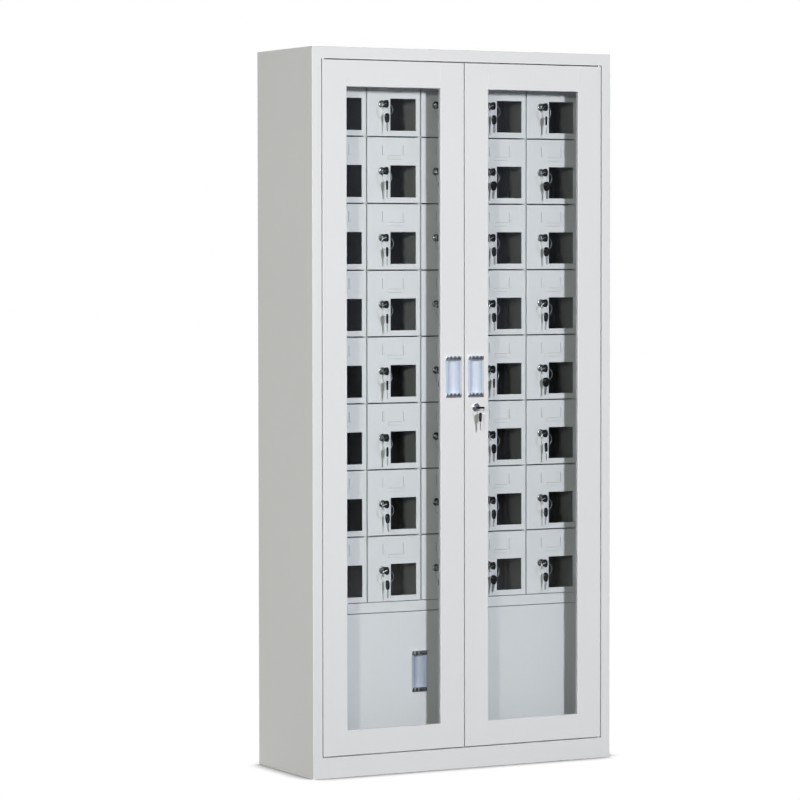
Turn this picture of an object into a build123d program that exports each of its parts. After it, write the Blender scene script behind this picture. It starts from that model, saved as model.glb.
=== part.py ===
from build123d import *

import os

# Phone locker cabinet: forty small locker doors and a low cupboard behind a pair of glazed doors.
# The cabinet stands on the floor at Z = 0 and faces -Y. X runs across it. The origin is under the
# middle of everything, the key that stands out of the front included. Depths are measured
# backwards from the front face of the carcass. All sizes are in millimetres.

# Carcass, folded from steel sheet
cabinet_width = 850.0
cabinet_depth = 310.0
cabinet_height = 1800.0
sheet = 1.0
bend_radius = 1.5  # outside of a folded corner
post_face = 25.5  # front face of the folded post on each side panel
post_return = 22.0  # fold behind each post and behind the header
header_face = 29.0
plinth_face = 51.0
fold_lip = 15.0  # narrow folds at the back and under the plinth

# Glazed doors
door_gap = 2.5
door_depth = 20.0
door_sheet = 1.0
door_hem = 12.0  # fold that closes the back of a glazed door's edge
stile_face = 67.0
top_rail_face = 65.0
foot_rail_face = 62.0
window_fold = 5.0  # depth of the fold round the window
joint_groove = 0.6  # width of the line where a rail meets a stile
groove_depth = 0.3
glass_thickness = 4.0
glass_overlap = 10.0
bead_leg = 2.0
bead_back = 1.5
bead_fit = 0.2  # room round the glass in its bead

# Pivots of the glazed doors and the cupboard doors
pivot_offset = 5.0  # from a door's edge and from its face
pivot_radius = 2.5
pivot_entry = 7.0  # how far a pin reaches into a door
pin_sides = 12  # round pins and rods repeat, so they are faceted
running_fit = 0.05

# Locker nest
columns = 5
rows = 8
nest_setback = 89.0  # locker faces behind the front of the carcass
nest_margin = 42.5  # closed strip at each side of the lockers
nest_headroom = 48.5  # from the top of the cabinet to the lockers
cupboard_height = 343.0  # opening of the low cupboard
sill_face = 25.0  # strip between the cupboard and the lockers
partition_lip = 10.0
stop_gap = 0.5  # between a closed locker door and what stands behind it

# Locker doors
locker_gap = 3.0
locker_pan = 15.0
locker_sheet = 1.0
rod_inset = 4.0  # hinge rod behind the face and inside the edge of a locker door
rod_radius = 1.5
hinge_tab = 12.0
tab_inset = 0.5
tab_edge = 2.0  # from the rod's hole to the end of a tab
rod_rows = 4  # every fourth shelf holds the rods
window_left = 65.0  # from the hinge-free edge of a locker door to its window
window_right = 12.5
window_bottom = 14.0
window_height = 80.0
pane_thickness = 2.0
pane_overlap = 5.0
lock_left = 41.0
lock_height = 79.5

# Clips that hold a number card on a locker door
card_left = 42.5
card_width = 64.0
card_drop = 17.0  # from the top of the door
clip_width = 6.0
clip_height = 28.0
clip_proud = 1.2
foot_clip_left = 56.5
foot_clip_width = 43.0
foot_clip_height = 9.0

# Locker lock and its key
bezel_radius = 10.0
bezel_sides = 10
bezel_proud = 3.0
shank_side = 13.0
shank_depth = 18.0
cam_width = 12.0
cam_length = 34.0
cam_thickness = 2.0
key_neck_width = 8.0
key_neck_thickness = 2.0
key_neck = 7.0
key_head = 24.0
key_head_width = 22.0
key_head_thickness = 4.5
key_corner = 6.0
key_eye = 5.0
key_eye_inset = 4.0

# Lock of the glazed doors
lock_offset = 32.0  # from the seam between the doors, for the lock and the pulls
lock_drop = 25.0  # below the pull
door_bezel_radius = 11.0
barrel_side = 16.0
plug_radius = 5.5
barrel_fit = 0.1
cam_clearance = 1.5
door_cam_length = 42.0

# Recessed pulls
pull_width = 44.0
pull_height = 105.0
pull_proud = 2.5
pull_end = 12.0  # raised bar at each end
pull_end_proud = 1.5
pull_rim = 5.0
cup_wall = 1.5
cup_depth = 12.0
cup_fit = 0.3
pull_centre_height = 985.0
cupboard_pull_height = 240.0
cupboard_pull_offset = 82.0

# Cupboard doors
cupboard_gap = 2.0
cupboard_depth = 18.0
cupboard_sheet = 1.0

# Places that follow from the sizes
key_reach = bezel_proud + key_neck + key_head
front = key_reach - (cabinet_depth + key_reach) / 2
half_width = cabinet_width / 2
door_bottom = plinth_face + door_gap
door_top = cabinet_height - header_face - door_gap
door_edge = half_width - post_face - door_gap
nest_half = half_width - sheet - nest_margin
nest_bottom = plinth_face + cupboard_height + sill_face
nest_top = cabinet_height - nest_headroom
nest_front = nest_setback + locker_pan + stop_gap
nest_back = cabinet_depth - 2 * sheet
column_pitch = 2 * nest_half / columns
row_pitch = (nest_top - nest_bottom) / rows
locker_width = column_pitch - locker_gap
locker_height = row_pitch - locker_gap
cupboard_top = plinth_face + cupboard_height
rod_hole = rod_radius + running_fit
lock_z = pull_centre_height - pull_height / 2 - lock_drop


def block(x0, x1, depth0, depth1, z0, z1):
    """A box between two places across, two depths behind the front face and two heights."""
    corner = Pos(min(x0, x1), front + depth0, z0)
    return corner * Box(abs(x1 - x0), depth1 - depth0, z1 - z0, align=(Align.MIN,) * 3)


def upright(x, depth, radius, z0, z1):
    """A round shape that stands on Z."""
    foot = (Align.CENTER, Align.CENTER, Align.MIN)
    return Pos(x, front + depth, z0) * Cylinder(radius, z1 - z0, align=foot)


def rod(x, depth, radius, z0, z1):
    """A hinge pin or a long hinge rod that stands on Z."""
    section = RegularPolygon(radius, pin_sides)
    return Pos(x, front + depth, z0) * extrude(section, z1 - z0)


def bar(x, z, radius, depth0, depth1):
    """A round bar that runs from front to back."""
    foot = (Align.CENTER, Align.CENTER, Align.MIN)
    turned = Pos(x, front + depth0, z) * Rot(-90, 0, 0)
    return turned * Cylinder(radius, depth1 - depth0, align=foot)


def front_edges(solid):
    """The four edges round the foremost flat face of a solid."""
    return solid.faces().sort_by(Axis.Y)[0].edges()


def side_panel(side):
    """A side sheet with the front post folded in one piece with it."""
    outside = side * half_width
    under_top = cabinet_height - sheet
    web = block(outside, outside - side * sheet, 0, cabinet_depth, 0, cabinet_height)
    face = block(outside, outside - side * post_face, 0, sheet, 0, under_top)
    inner = outside - side * (post_face - sheet)
    jamb = block(inner, inner - side * sheet, 0, post_return,
                 plinth_face, cabinet_height - header_face)
    lip = block(outside, outside - side * fold_lip, cabinet_depth - sheet, cabinet_depth,
                0, under_top)
    panel = web + face + jamb + lip
    corners = panel.edges().filter_by(Axis.Z).group_by(Axis.X)[0 if side < 0 else -1]
    return fillet(corners, bend_radius)


def side_panels():
    return [side_panel(-1), side_panel(1)]


def top_panel():
    """The lid, with the header and its return folded down at the front."""
    inside, between = half_width - sheet, half_width - post_face
    header_foot = cabinet_height - header_face
    web = block(-inside, inside, 0, cabinet_depth, cabinet_height - sheet, cabinet_height)
    header = block(-between, between, 0, sheet, header_foot, cabinet_height)
    shelf = block(-between, between, 0, post_return, header_foot, header_foot + sheet)
    rear = half_width - fold_lip
    lip = block(-rear, rear, cabinet_depth - sheet, cabinet_depth,
                cabinet_height - fold_lip, cabinet_height)
    lid = web + header + shelf + lip
    return fillet(lid.edges().filter_by(Axis.X).group_by(Axis.Z)[-1].sort_by(Axis.Y)[0],
                  bend_radius)


def base_panel():
    """The floor of the cabinet, with the plinth folded down and a lip that it stands on."""
    inside, between = half_width - sheet, half_width - post_face
    web = block(-inside, inside, sheet, nest_back, plinth_face - sheet, plinth_face)
    plinth = block(-between, between, 0, sheet, 0, plinth_face)
    foot = block(-between, between, 0, fold_lip, 0, sheet)
    rear = block(-inside, inside, nest_back - sheet, nest_back, 0, plinth_face)
    rear_foot = block(-inside, inside, nest_back - fold_lip, nest_back, 0, sheet)
    return web + plinth + foot + rear + rear_foot


def back_panel():
    inside = half_width - sheet
    return block(-inside, inside, nest_back, nest_back + sheet, 0, cabinet_height - sheet)


def folded_opening(half, z0, z1):
    """The folds round an opening of the nest frame, as a ring one sheet thick."""
    ring = block(-half - sheet, half + sheet, nest_setback, nest_front, z0 - sheet, z1 + sheet)
    return ring - block(-half, half, nest_setback, nest_front, z0, z1)


def nest_frame():
    """The fixed face round the lockers and the cupboard: side strips, top strip and sill."""
    inside = half_width - sheet
    face = block(-inside, inside, nest_setback, nest_setback + sheet,
                 plinth_face, cabinet_height - sheet)
    for z0, z1 in ((nest_bottom, nest_top), (plinth_face + sheet, cupboard_top)):
        face += folded_opening(nest_half, z0, z1)
        face -= block(-nest_half, nest_half, nest_setback, nest_front, z0, z1)
    return face


def column_line(number):
    return -nest_half + number * column_pitch


def row_line(number):
    return nest_bottom + number * row_pitch


def partition(number):
    """An upright sheet between two columns, with a lip that the lock cams catch behind."""
    line = column_line(number)
    if number == 0:
        line -= sheet / 2
    if number == columns:
        line += sheet / 2
    right = line + sheet / 2
    wall = block(right - sheet, right, nest_front, nest_back, nest_bottom, nest_top)
    if number == columns:
        return wall
    return wall + block(right, right + partition_lip, nest_front, nest_front + sheet,
                        nest_bottom, nest_top)


def rod_place(column):
    """Where a column's hinge rod stands across the cabinet."""
    return column_line(column + 1) - locker_gap / 2 - rod_inset


def locker_shelf(column, level):
    """A shelf between two partitions, some with a tab in front that holds the hinge rod."""
    z = row_line(level) - sheet / 2
    left = column_line(column) + (sheet / 2 if column else 0)
    last = column == columns - 1
    right = column_line(column + 1) - (0 if last else sheet / 2)
    plate = block(left, right, nest_front + sheet, nest_back, z, z + sheet)
    if level % rod_rows:
        return plate
    rod_x, rod_depth = rod_place(column), nest_setback + rod_inset
    end = rod_x + rod_hole + tab_edge
    tab = block(end - hinge_tab, end, nest_setback + tab_inset, nest_front + sheet,
                z, z + sheet)
    return plate + tab - square_hole(rod_x, rod_depth, rod_hole, z, z + sheet)


def locker_shelves():
    """The floor and the roof of the nest, and the shelves between its partitions."""
    outside = half_width - sheet
    floor = block(-outside, outside, nest_front, nest_back, nest_bottom - sheet, nest_bottom)
    roof = block(-outside, outside, nest_front, nest_back, nest_top, nest_top + sheet)
    inner = [locker_shelf(c, level) for c in range(columns) for level in range(1, rows)]
    return [floor, roof] + inner


def hinge_pins():
    """The pivots of the glazed doors and the long rods of the smaller doors."""
    pins = []
    reach = door_gap + pivot_entry
    head = cabinet_height - header_face
    for side in (-1, 1):
        pivot_x = side * (door_edge - pivot_offset)
        pins.append(rod(pivot_x, pivot_offset, pivot_radius, plinth_face, plinth_face + reach))
        pins.append(rod(pivot_x, pivot_offset, pivot_radius, head - reach, head))
        pins.append(rod(side * (nest_half - cupboard_gap - pivot_offset),
                        nest_setback + pivot_offset, pivot_radius,
                        plinth_face + sheet, cupboard_top))
    for column in range(columns):
        pins.append(rod(rod_place(column), nest_setback + rod_inset, rod_radius,
                        nest_bottom, nest_top))
    return pins


def square_hole(x, depth, half, z0, z1):
    """The cutter for the square holes that a pivot passes between two heights."""
    return block(x - half, x + half, depth - half, depth + half, z0, z1)


def pull_pocket(x, depth, z):
    """The cutter for the hole that a recessed pull sits in."""
    half = pull_width / 2 - pull_rim + cup_wall + cup_fit
    tall = pull_height / 2 - pull_end + cup_wall + cup_fit
    return block(x - half, x + half, depth, depth + cup_depth, z - tall, z + tall)


def recessed_pull(x, depth, z):
    """A plated pull: a rim on the door's face, a bar at each end and a hollowed cup behind."""
    wide, tall = pull_width / 2, pull_height / 2
    rim = block(x - wide, x + wide, depth - pull_proud, depth, z - tall, z + tall)
    bar_front = depth - pull_proud - pull_end_proud
    for foot in (z - tall, z + tall - pull_end):
        end = block(x - wide, x + wide, bar_front, depth, foot, foot + pull_end)
        rim += chamfer(front_edges(end), pull_end_proud)
    half_hollow, tall_hollow = wide - pull_rim, tall - pull_end
    cup = block(x - half_hollow - cup_wall, x + half_hollow + cup_wall, depth,
                depth + cup_depth, z - tall_hollow - cup_wall, z + tall_hollow + cup_wall)
    scoop_depth = pull_proud + cup_depth - cup_wall
    scoop_radius = (half_hollow**2 + scoop_depth**2) / (2 * scoop_depth)
    scoop_axis = depth + cup_depth - cup_wall - scoop_radius
    scoop = upright(x, scoop_axis, scoop_radius, z - tall_hollow, z + tall_hollow)
    return rim + cup - scoop


def window_of(side):
    """The window of a glazed door: its two places across and its two heights."""
    seam = side * door_gap / 2
    return (seam + side * stile_face, side * (door_edge - stile_face),
            door_bottom + foot_rail_face, door_top - top_rail_face)


def spread(edges, room):
    """A pair of places across and a pair of heights, each moved outwards by some room."""
    x0, x1, z0, z1 = edges
    low, high = min(x0, x1), max(x0, x1)
    return low - room, high + room, z0 - room, z1 + room


def framed(edges, room, depth0, depth1):
    """A block over a window that reaches some room past its edges."""
    x0, x1, z0, z1 = spread(edges, room)
    return block(x0, x1, depth0, depth1, z0, z1)


def glazed_door(side):
    """A folded steel door frame, and the bead that holds its glass from behind."""
    seam, edge = side * door_gap / 2, side * door_edge
    window = window_of(side)
    outline = (seam, edge, door_bottom, door_top)
    pan = framed(outline, 0, 0, door_depth)
    pan = fillet(front_edges(pan), bend_radius)
    pan -= framed(outline, -door_sheet, door_sheet, door_depth)
    hem = framed(outline, 0, door_depth - door_sheet, door_depth)
    pan += hem - framed(outline, -door_hem, 0, door_depth)
    pan += framed(window, door_sheet, 0, window_fold)
    pan -= framed(window, 0, 0, door_depth)
    for x in window[:2]:
        pan -= block(x - joint_groove / 2, x + joint_groove / 2, 0, groove_depth,
                     window[3], door_top)
    pan -= pull_pocket(side * lock_offset, 0, pull_centre_height)
    pan -= square_hole(edge - side * pivot_offset, pivot_offset,
                       pivot_radius + running_fit, door_bottom, door_top)
    if side > 0:
        half = barrel_side / 2 + barrel_fit
        pan -= block(lock_offset - half, lock_offset + half, 0, door_sheet,
                     lock_z - half, lock_z + half)
    glass_back = window_fold + glass_thickness
    bead = framed(window, glass_overlap + bead_fit + bead_leg, door_sheet,
                  glass_back + bead_back)
    bead -= framed(window, glass_overlap + bead_fit, door_sheet, glass_back)
    bead -= framed(window, 0, 0, door_depth)
    return [pan, bead]


def door_glass(side):
    return framed(window_of(side), glass_overlap, window_fold, window_fold + glass_thickness)


def key_shape(x, z, bezel_front):
    """A key in a lock: a flat neck in front of the bezel and a plastic head."""
    head_front = bezel_front - key_neck - key_head
    half, thin = key_head_width / 2, key_head_thickness / 2
    head = block(x - thin, x + thin, head_front, bezel_front - key_neck, z - half, z + half)
    front_corners = head.edges().filter_by(Axis.X).group_by(Axis.Y)[0]
    head = chamfer(front_corners, key_corner)
    half, thin = key_neck_width / 2, key_neck_thickness / 2
    return head + block(x - thin, x + thin, bezel_front - key_neck, bezel_front,
                        z - half, z + half)


def door_lock_barrel():
    """The housing of the lock in the right glazed door, bored for its plug."""
    behind = door_depth + cam_clearance
    half = barrel_side / 2
    housing = bar(lock_offset, lock_z, door_bezel_radius, -bezel_proud, 0)
    housing += block(lock_offset - half, lock_offset + half, 0, behind,
                     lock_z - half, lock_z + half)
    return housing - bar(lock_offset, lock_z, plug_radius + running_fit, -bezel_proud, behind)


def door_lock_key():
    """The plug with the key in it, and the cam that swings behind the left door."""
    behind = door_depth + cam_clearance
    plug = bar(lock_offset, lock_z, plug_radius, -bezel_proud, behind)
    cam = block(lock_offset - cam_width / 2, lock_offset + cam_width / 2,
                behind, behind + cam_thickness,
                lock_z - door_cam_length, lock_z + cam_width / 2)
    key = key_shape(lock_offset, lock_z, -bezel_proud)
    thin = key_head_thickness / 2
    eye = key_eye_inset - key_reach
    key -= block(lock_offset - thin, lock_offset + thin, eye, eye + key_eye,
                 lock_z - key_eye / 2, lock_z + key_eye / 2)
    across = Axis((lock_offset, front, lock_z), (0, 1, 0))
    return plug + cam + key.rotate(across, 90)


def cupboard_door(side):
    """A plain folded door of the low cupboard."""
    edge, seam = side * (nest_half - cupboard_gap), side * cupboard_gap / 2
    foot = plinth_face + sheet + cupboard_gap
    outline = (seam, edge, foot, cupboard_top - cupboard_gap)
    back = nest_setback + cupboard_depth
    pan = framed(outline, 0, nest_setback, back)
    pan = fillet(front_edges(pan), bend_radius)
    pan -= framed(outline, -cupboard_sheet, nest_setback + cupboard_sheet, back)
    pan -= pull_pocket(side * cupboard_pull_offset, nest_setback, cupboard_pull_height)
    return pan - square_hole(edge - side * pivot_offset, nest_setback + pivot_offset,
                             pivot_radius + running_fit, outline[2], outline[3])


def card_clips(left, top, face):
    """The three raised clips that hold a number card on a locker door."""
    card_x, card_top = left + card_left, top - card_drop
    card_foot = card_top - clip_height
    clips = [block(x, x + clip_width, face - clip_proud, face, card_foot, card_top)
             for x in (card_x, card_x + card_width - clip_width)]
    foot_x = left + foot_clip_left
    clips.append(block(foot_x, foot_x + foot_clip_width, face - clip_proud, face,
                       card_foot - foot_clip_height, card_foot))
    return clips


def locker_lock(x, z, face):
    """A cam lock pressed into a locker door: a faceted bezel and a square shank."""
    bezel = extrude(Rot(-90, 0, 0) * RegularPolygon(bezel_radius, bezel_sides), -bezel_proud)
    half = shank_side / 2
    shank = block(x - half, x + half, face, face + shank_depth, z - half, z + half)
    return Pos(x, front + face, z) * bezel + shank


def locker_door():
    """One locker door with its pane, lock, cam and key, placed in the lowest left locker."""
    left, foot = column_line(0) + locker_gap / 2, row_line(0) + locker_gap / 2
    right, top = left + locker_width, foot + locker_height
    face, back = nest_setback, nest_setback + locker_pan
    outline = (left, right, foot, top)
    window = (left + window_left, right - window_right,
              foot + window_bottom, foot + window_bottom + window_height)
    lock_x, lock_up = left + lock_left, foot + lock_height

    pan = framed(outline, 0, face, back)
    pan -= framed(outline, -locker_sheet, face + locker_sheet, back)
    pan -= square_hole(right - rod_inset, face + rod_inset, rod_hole, foot, top)
    pan -= framed(window, 0, face, back)
    for clip in card_clips(left, top, face):
        pan += clip
    pan += locker_lock(lock_x, lock_up, face)

    pane = framed(window, pane_overlap, face + locker_sheet,
                  face + locker_sheet + pane_thickness)
    behind = face + shank_depth
    cam = block(lock_x - cam_width / 2, lock_x + cam_width / 2, behind,
                behind + cam_thickness, lock_up - cam_length, lock_up + cam_width / 2)
    return [pan, pane, cam, key_shape(lock_x, lock_up, face - bezel_proud)]


def write(name, solids):
    solids = solids if isinstance(solids, list) else [solids]
    whole = [solid for entry in solids for solid in entry.solids()]
    shape = whole[0] if len(whole) == 1 else Compound(whole)
    export_step(shape, os.path.join("parts", name + ".step"))


os.makedirs("parts", exist_ok=True)
write("side_panels", side_panels())
write("top_panel", top_panel())
write("base_panel", base_panel())
write("back_panel", back_panel())
write("nest_frame", nest_frame())
write("locker_partitions", [partition(number) for number in range(columns + 1)])
write("locker_shelves", locker_shelves())
write("hinge_pins", hinge_pins())
write("door_lock_barrel", door_lock_barrel())
write("door_lock_key", door_lock_key())
for side, name in ((-1, "left"), (1, "right")):
    write("glazed_door_" + name, glazed_door(side))
    write("door_glass_" + name, door_glass(side))
    write("door_pull_" + name, recessed_pull(side * lock_offset, 0, pull_centre_height))
    write("cupboard_door_" + name, cupboard_door(side))
    write("cupboard_pull_" + name,
          recessed_pull(side * cupboard_pull_offset, nest_setback, cupboard_pull_height))
master = locker_door()
for row in range(rows):
    for column in range(columns):
        place = Pos(column * column_pitch, 0, (rows - 1 - row) * row_pitch)
        write(f"locker_door_{row + 1}_{column + 1}", [place * solid for solid in master])
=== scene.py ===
"""Dresses the phone locker cabinet: folded painted sheet, glazed doors, plated pulls, locks and keys."""

import math
import random

import bmesh
import bpy
from bpy.props import FloatProperty, FloatVectorProperty, IntProperty, PointerProperty
from bpy.types import Operator, Panel, PropertyGroup
from mathutils import Matrix, Vector


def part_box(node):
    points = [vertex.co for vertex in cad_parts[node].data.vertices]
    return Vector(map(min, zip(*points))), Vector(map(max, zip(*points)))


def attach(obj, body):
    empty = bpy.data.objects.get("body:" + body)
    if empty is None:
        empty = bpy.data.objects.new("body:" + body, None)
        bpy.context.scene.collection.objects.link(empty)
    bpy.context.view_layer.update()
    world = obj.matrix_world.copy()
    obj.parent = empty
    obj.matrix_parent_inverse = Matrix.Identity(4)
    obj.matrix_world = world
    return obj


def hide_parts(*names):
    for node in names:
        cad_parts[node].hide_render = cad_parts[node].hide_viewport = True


bl_info = {
    "name": "Phone locker cabinet",
    "version": (1, 0, 0),
    "blender": (4, 5, 0),
    "location": "View3D > Sidebar > Cabinet",
    "description": "Builds the painted sheet, glass, pulls, locks and keys of a phone locker cabinet",
    "category": "Object",
}

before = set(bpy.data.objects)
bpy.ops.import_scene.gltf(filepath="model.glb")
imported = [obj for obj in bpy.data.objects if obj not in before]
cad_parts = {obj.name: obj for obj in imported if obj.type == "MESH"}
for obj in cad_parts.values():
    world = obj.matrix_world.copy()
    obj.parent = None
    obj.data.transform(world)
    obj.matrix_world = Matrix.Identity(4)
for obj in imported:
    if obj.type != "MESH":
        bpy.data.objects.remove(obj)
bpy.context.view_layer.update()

# The carcass's front face, and how deep the front of the locker nest lies behind it
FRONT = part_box("side_panels")[0].y
NEST_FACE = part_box("nest_frame")[0].y - FRONT
ROWS, COLUMNS = 8, 5
FORWARD, ACROSS, UP = Vector((0, -1, 0)), Vector((1, 0, 0)), Vector((0, 0, 1))

# The gap between two pieces that fit each other, and the gap round one that fills its hole
CLEARANCE, FIT = 0.0003, 0.0001

# The share of its radius that a lock's plug keeps at its face
PLUG_FACE = 0.93

# Points round a turned piece, the head of a key, a key ring and its wire
ROUND, HEAD_POINTS, RING_POINTS, WIRE_POINTS = 32, 28, 30, 7

# The least and most by which a hung key ring and spare key turn, and the key leans, in radians
RING_TURNS, KEY_TURNS, KEY_LEANS = (-0.3, 0.3), (1.0, 1.9), (-0.16, 0.16)

# Scale and detail of the noises in the finishes
DRIFT, DUST, PEEL = (2.2, 3.0), (900.0, 1.0), (520.0, 2.0)
RUBBING, SCRATCHES = (240.0, 1.0), (1400.0, 2.0)
BRUSHING, BRUSH_STRETCH = (1.0, 2.0), (210.0, 210.0, 6.0)
SPARK_GRAIN, WEAR = (2600.0, 2.0), (140.0, 3.0)
GLASS_WAVE, SMEARS = (3.0, 1.0), (14.0, 3.0)

# Plain white, and the tones of the lamps and the room
WHITE, DAYLIGHT, WARM = (1.0, 1.0, 1.0), (0.99, 0.992, 1.0), (1.0, 0.975, 0.92)
YELLOWISH, ROOM_TONE, MIRRORED_TONE = (0.985, 1.0, 0.82), (0.97, 1.0, 0.88), (0.80, 0.87, 1.0)

# Each lamp's turn to the right of the front and its rise, in degrees, its distance and its width,
# the setting that holds its brightness, and its tone
LAMPS = {
    "front_light": (-5.0, 12.3, 6.5, 0.45, "key", DAYLIGHT),
    "left_light": (-43.0, 9.0, 16.0, 0.7, "left", YELLOWISH),
    "side_light": (-100.0, 0.0, 7.0, 2.5, "side", WARM),
    "right_light": (112.0, 14.0, 7.0, 2.5, "behind", DAYLIGHT),
    "back_light": (168.0, 42.0, 7.0, 2.5, "behind", DAYLIGHT),
}


# Sizes and colours that a user would change


def length(name, description, default):
    return FloatProperty(name=name, description=description, default=default, min=0.0,
                         unit="LENGTH", precision=5)


def colour(name, description, default):
    return FloatVectorProperty(name=name, description=description, default=default, size=3,
                               subtype="COLOR", min=0.0, max=1.0)


def share(name, description, default):
    return FloatProperty(name=name, description=description, default=default, min=0.0, max=1.0,
                         subtype="FACTOR")


def strength(name, description, default):
    return FloatProperty(name=name, description=description, default=default, min=0.0)


class CabinetFinishes(PropertyGroup):
    coat: colour("Powder coat", "Light grey coat of the carcass and the glazed doors",
                 (0.795, 0.797, 0.842))
    inner_coat: colour("Inner coat", "Coat of the small doors and the sheets round them",
                       (0.785, 0.810, 0.845))
    # Painted shade: a dark colour on the backs of the cells and on their shelves that stands in for the
    # shade deep inside the closed cells.
    painted_cell_shade: colour("Lining", "Dull dark coat at the back of the cells and on their shelves",
                   (0.10, 0.105, 0.125))
    # Painted shade: a dark tone on the inside of the glazed doors, so that they throw little light back
    # onto the locker fronts and the shade there stays deep.
    painted_back_shade: colour("Primer", "Grey primer on the inside of the glazed doors", (0.22, 0.22, 0.21))
    coat_gloss: share("Coat roughness", "Roughness of the powder coat", 0.42)
    peel: share("Orange peel", "Depth of the fine ripple in the powder coat", 0.12)
    # Painted shade: in the cells the inner coat turns to the painted cell shade colour with depth; these
    # give the depth where the painted shade begins and the depth over which it darkens fully.
    unshaded_depth: length("Coat reach", "How far into the cells the inner coat covers fully", 0.085)
    shade_fade_depth: length("Coat fade", "Depth over which the inner coat thins out to the lining", 1 / 30)
    plating: colour("Plating", "Bright plating of the pulls and locks", (0.80, 0.81, 0.83))
    film: colour("Pull hollow", "Pale blue hollow of the pulls", (0.58, 0.64, 0.78))
    plastic: colour("Key plastic", "Black plastic of the key heads", (0.006, 0.006, 0.007))
    smoke: colour("Pane tint", "Light that passes each face of a locker pane", (0.945, 0.948, 0.95))
    glass: colour("Glass tint", "Light that passes each face of the door glass",
                  (0.985, 0.990, 0.993))


class SheetSizes(PropertyGroup):
    sheet: length("Sheet", "Thickness of the folded sheet", 0.001)
    fold: length("Fold radius", "Outside radius of a folded edge", 0.0015)
    door_depth: length("Glazed door depth", "Depth of a glazed door's folded edge", 0.020)
    window_fold: length("Window fold depth", "Depth of the fold round a glazed door's window", 0.005)
    window_radius: length("Window edge radius", "Rounding of the edge round the window", 0.0015)
    hem: length("Hem", "Width of the fold that closes the back of a glazed door's edge", 0.012)
    seam: length("Rail seam", "Width of the line where a top rail meets its stile", 0.0008)
    pivot: length("Pivot place", "From a door's edge and face to its pivot", 0.005)
    pivot_hole: length("Pivot hole", "Half the width of the hole round a pivot", 0.00255)
    glass_lap: length("Glass lap", "How far the glass runs behind the door round it", 0.010)
    bead: length("Bead thickness", "Thickness of the bead behind the glass", 0.0015)
    bead_side: length("Bead side", "Thickness of the bead beside the glass", 0.002)
    bead_play: length("Bead play", "Gap between the edge of the glass and its bead", 0.0002)


class LockerSizes(PropertyGroup):
    pan: length("Door depth", "Depth of a small door's folded edge", 0.015)
    left: length("Window left", "From the door's left edge to its window", 0.065)
    right: length("Window right", "From the window to the door's right edge", 0.0125)
    foot: length("Window foot", "From the door's lower edge to its window", 0.014)
    tall: length("Window height", "Height of the window", 0.080)
    punched: length("Punched edge", "Rounding of the window's edge", 0.0004)
    lap: length("Pane lap", "How far the pane runs behind the door round it", 0.005)
    pane: length("Pane thickness", "Thickness of the pane", 0.002)
    lock_left: length("Lock left", "From the door's left edge to its lock", 0.041)
    lock_foot: length("Lock height", "From the door's lower edge to its lock", 0.0795)
    card_left: length("Card left", "From the door's left edge to the card clips", 0.0425)
    card_drop: length("Card drop", "From the door's top to the card clips", 0.017)
    card: length("Card width", "Width over the two upright clips", 0.064)
    clip: length("Clip width", "Width of an upright clip", 0.006)
    clip_tall: length("Clip height", "Height of an upright clip", 0.028)
    foot_clip_left: length("Foot clip left", "From the door's left edge to the low clip", 0.0565)
    foot_clip: length("Foot clip length", "Length of the low clip", 0.043)
    foot_clip_tall: length("Foot clip height", "Height of the low clip", 0.009)
    proud: length("Clip rise", "How far a clip stands off the door", 0.0012)
    clip_ramp: length("Clip ramp", "Length over which each end of a clip rises", 0.0035)
    clip_thick: length("Clip thickness", "Thickness of a clip", 0.0007)
    clip_root: length("Clip root", "How far each end of a clip runs past its hole", 0.0012)
    slit: length("Slit", "Width of the slit along each side of a clip", 0.0004)
    tab: length("Hinge tab", "Width of a hinge tab between two doors", 0.0085)
    tab_end: length("Hinge tab end", "From the line between two columns to a hinge tab", 0.0005)
    tab_thick: length("Hinge tab thickness", "Thickness of a hinge tab", 0.0022)


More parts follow.
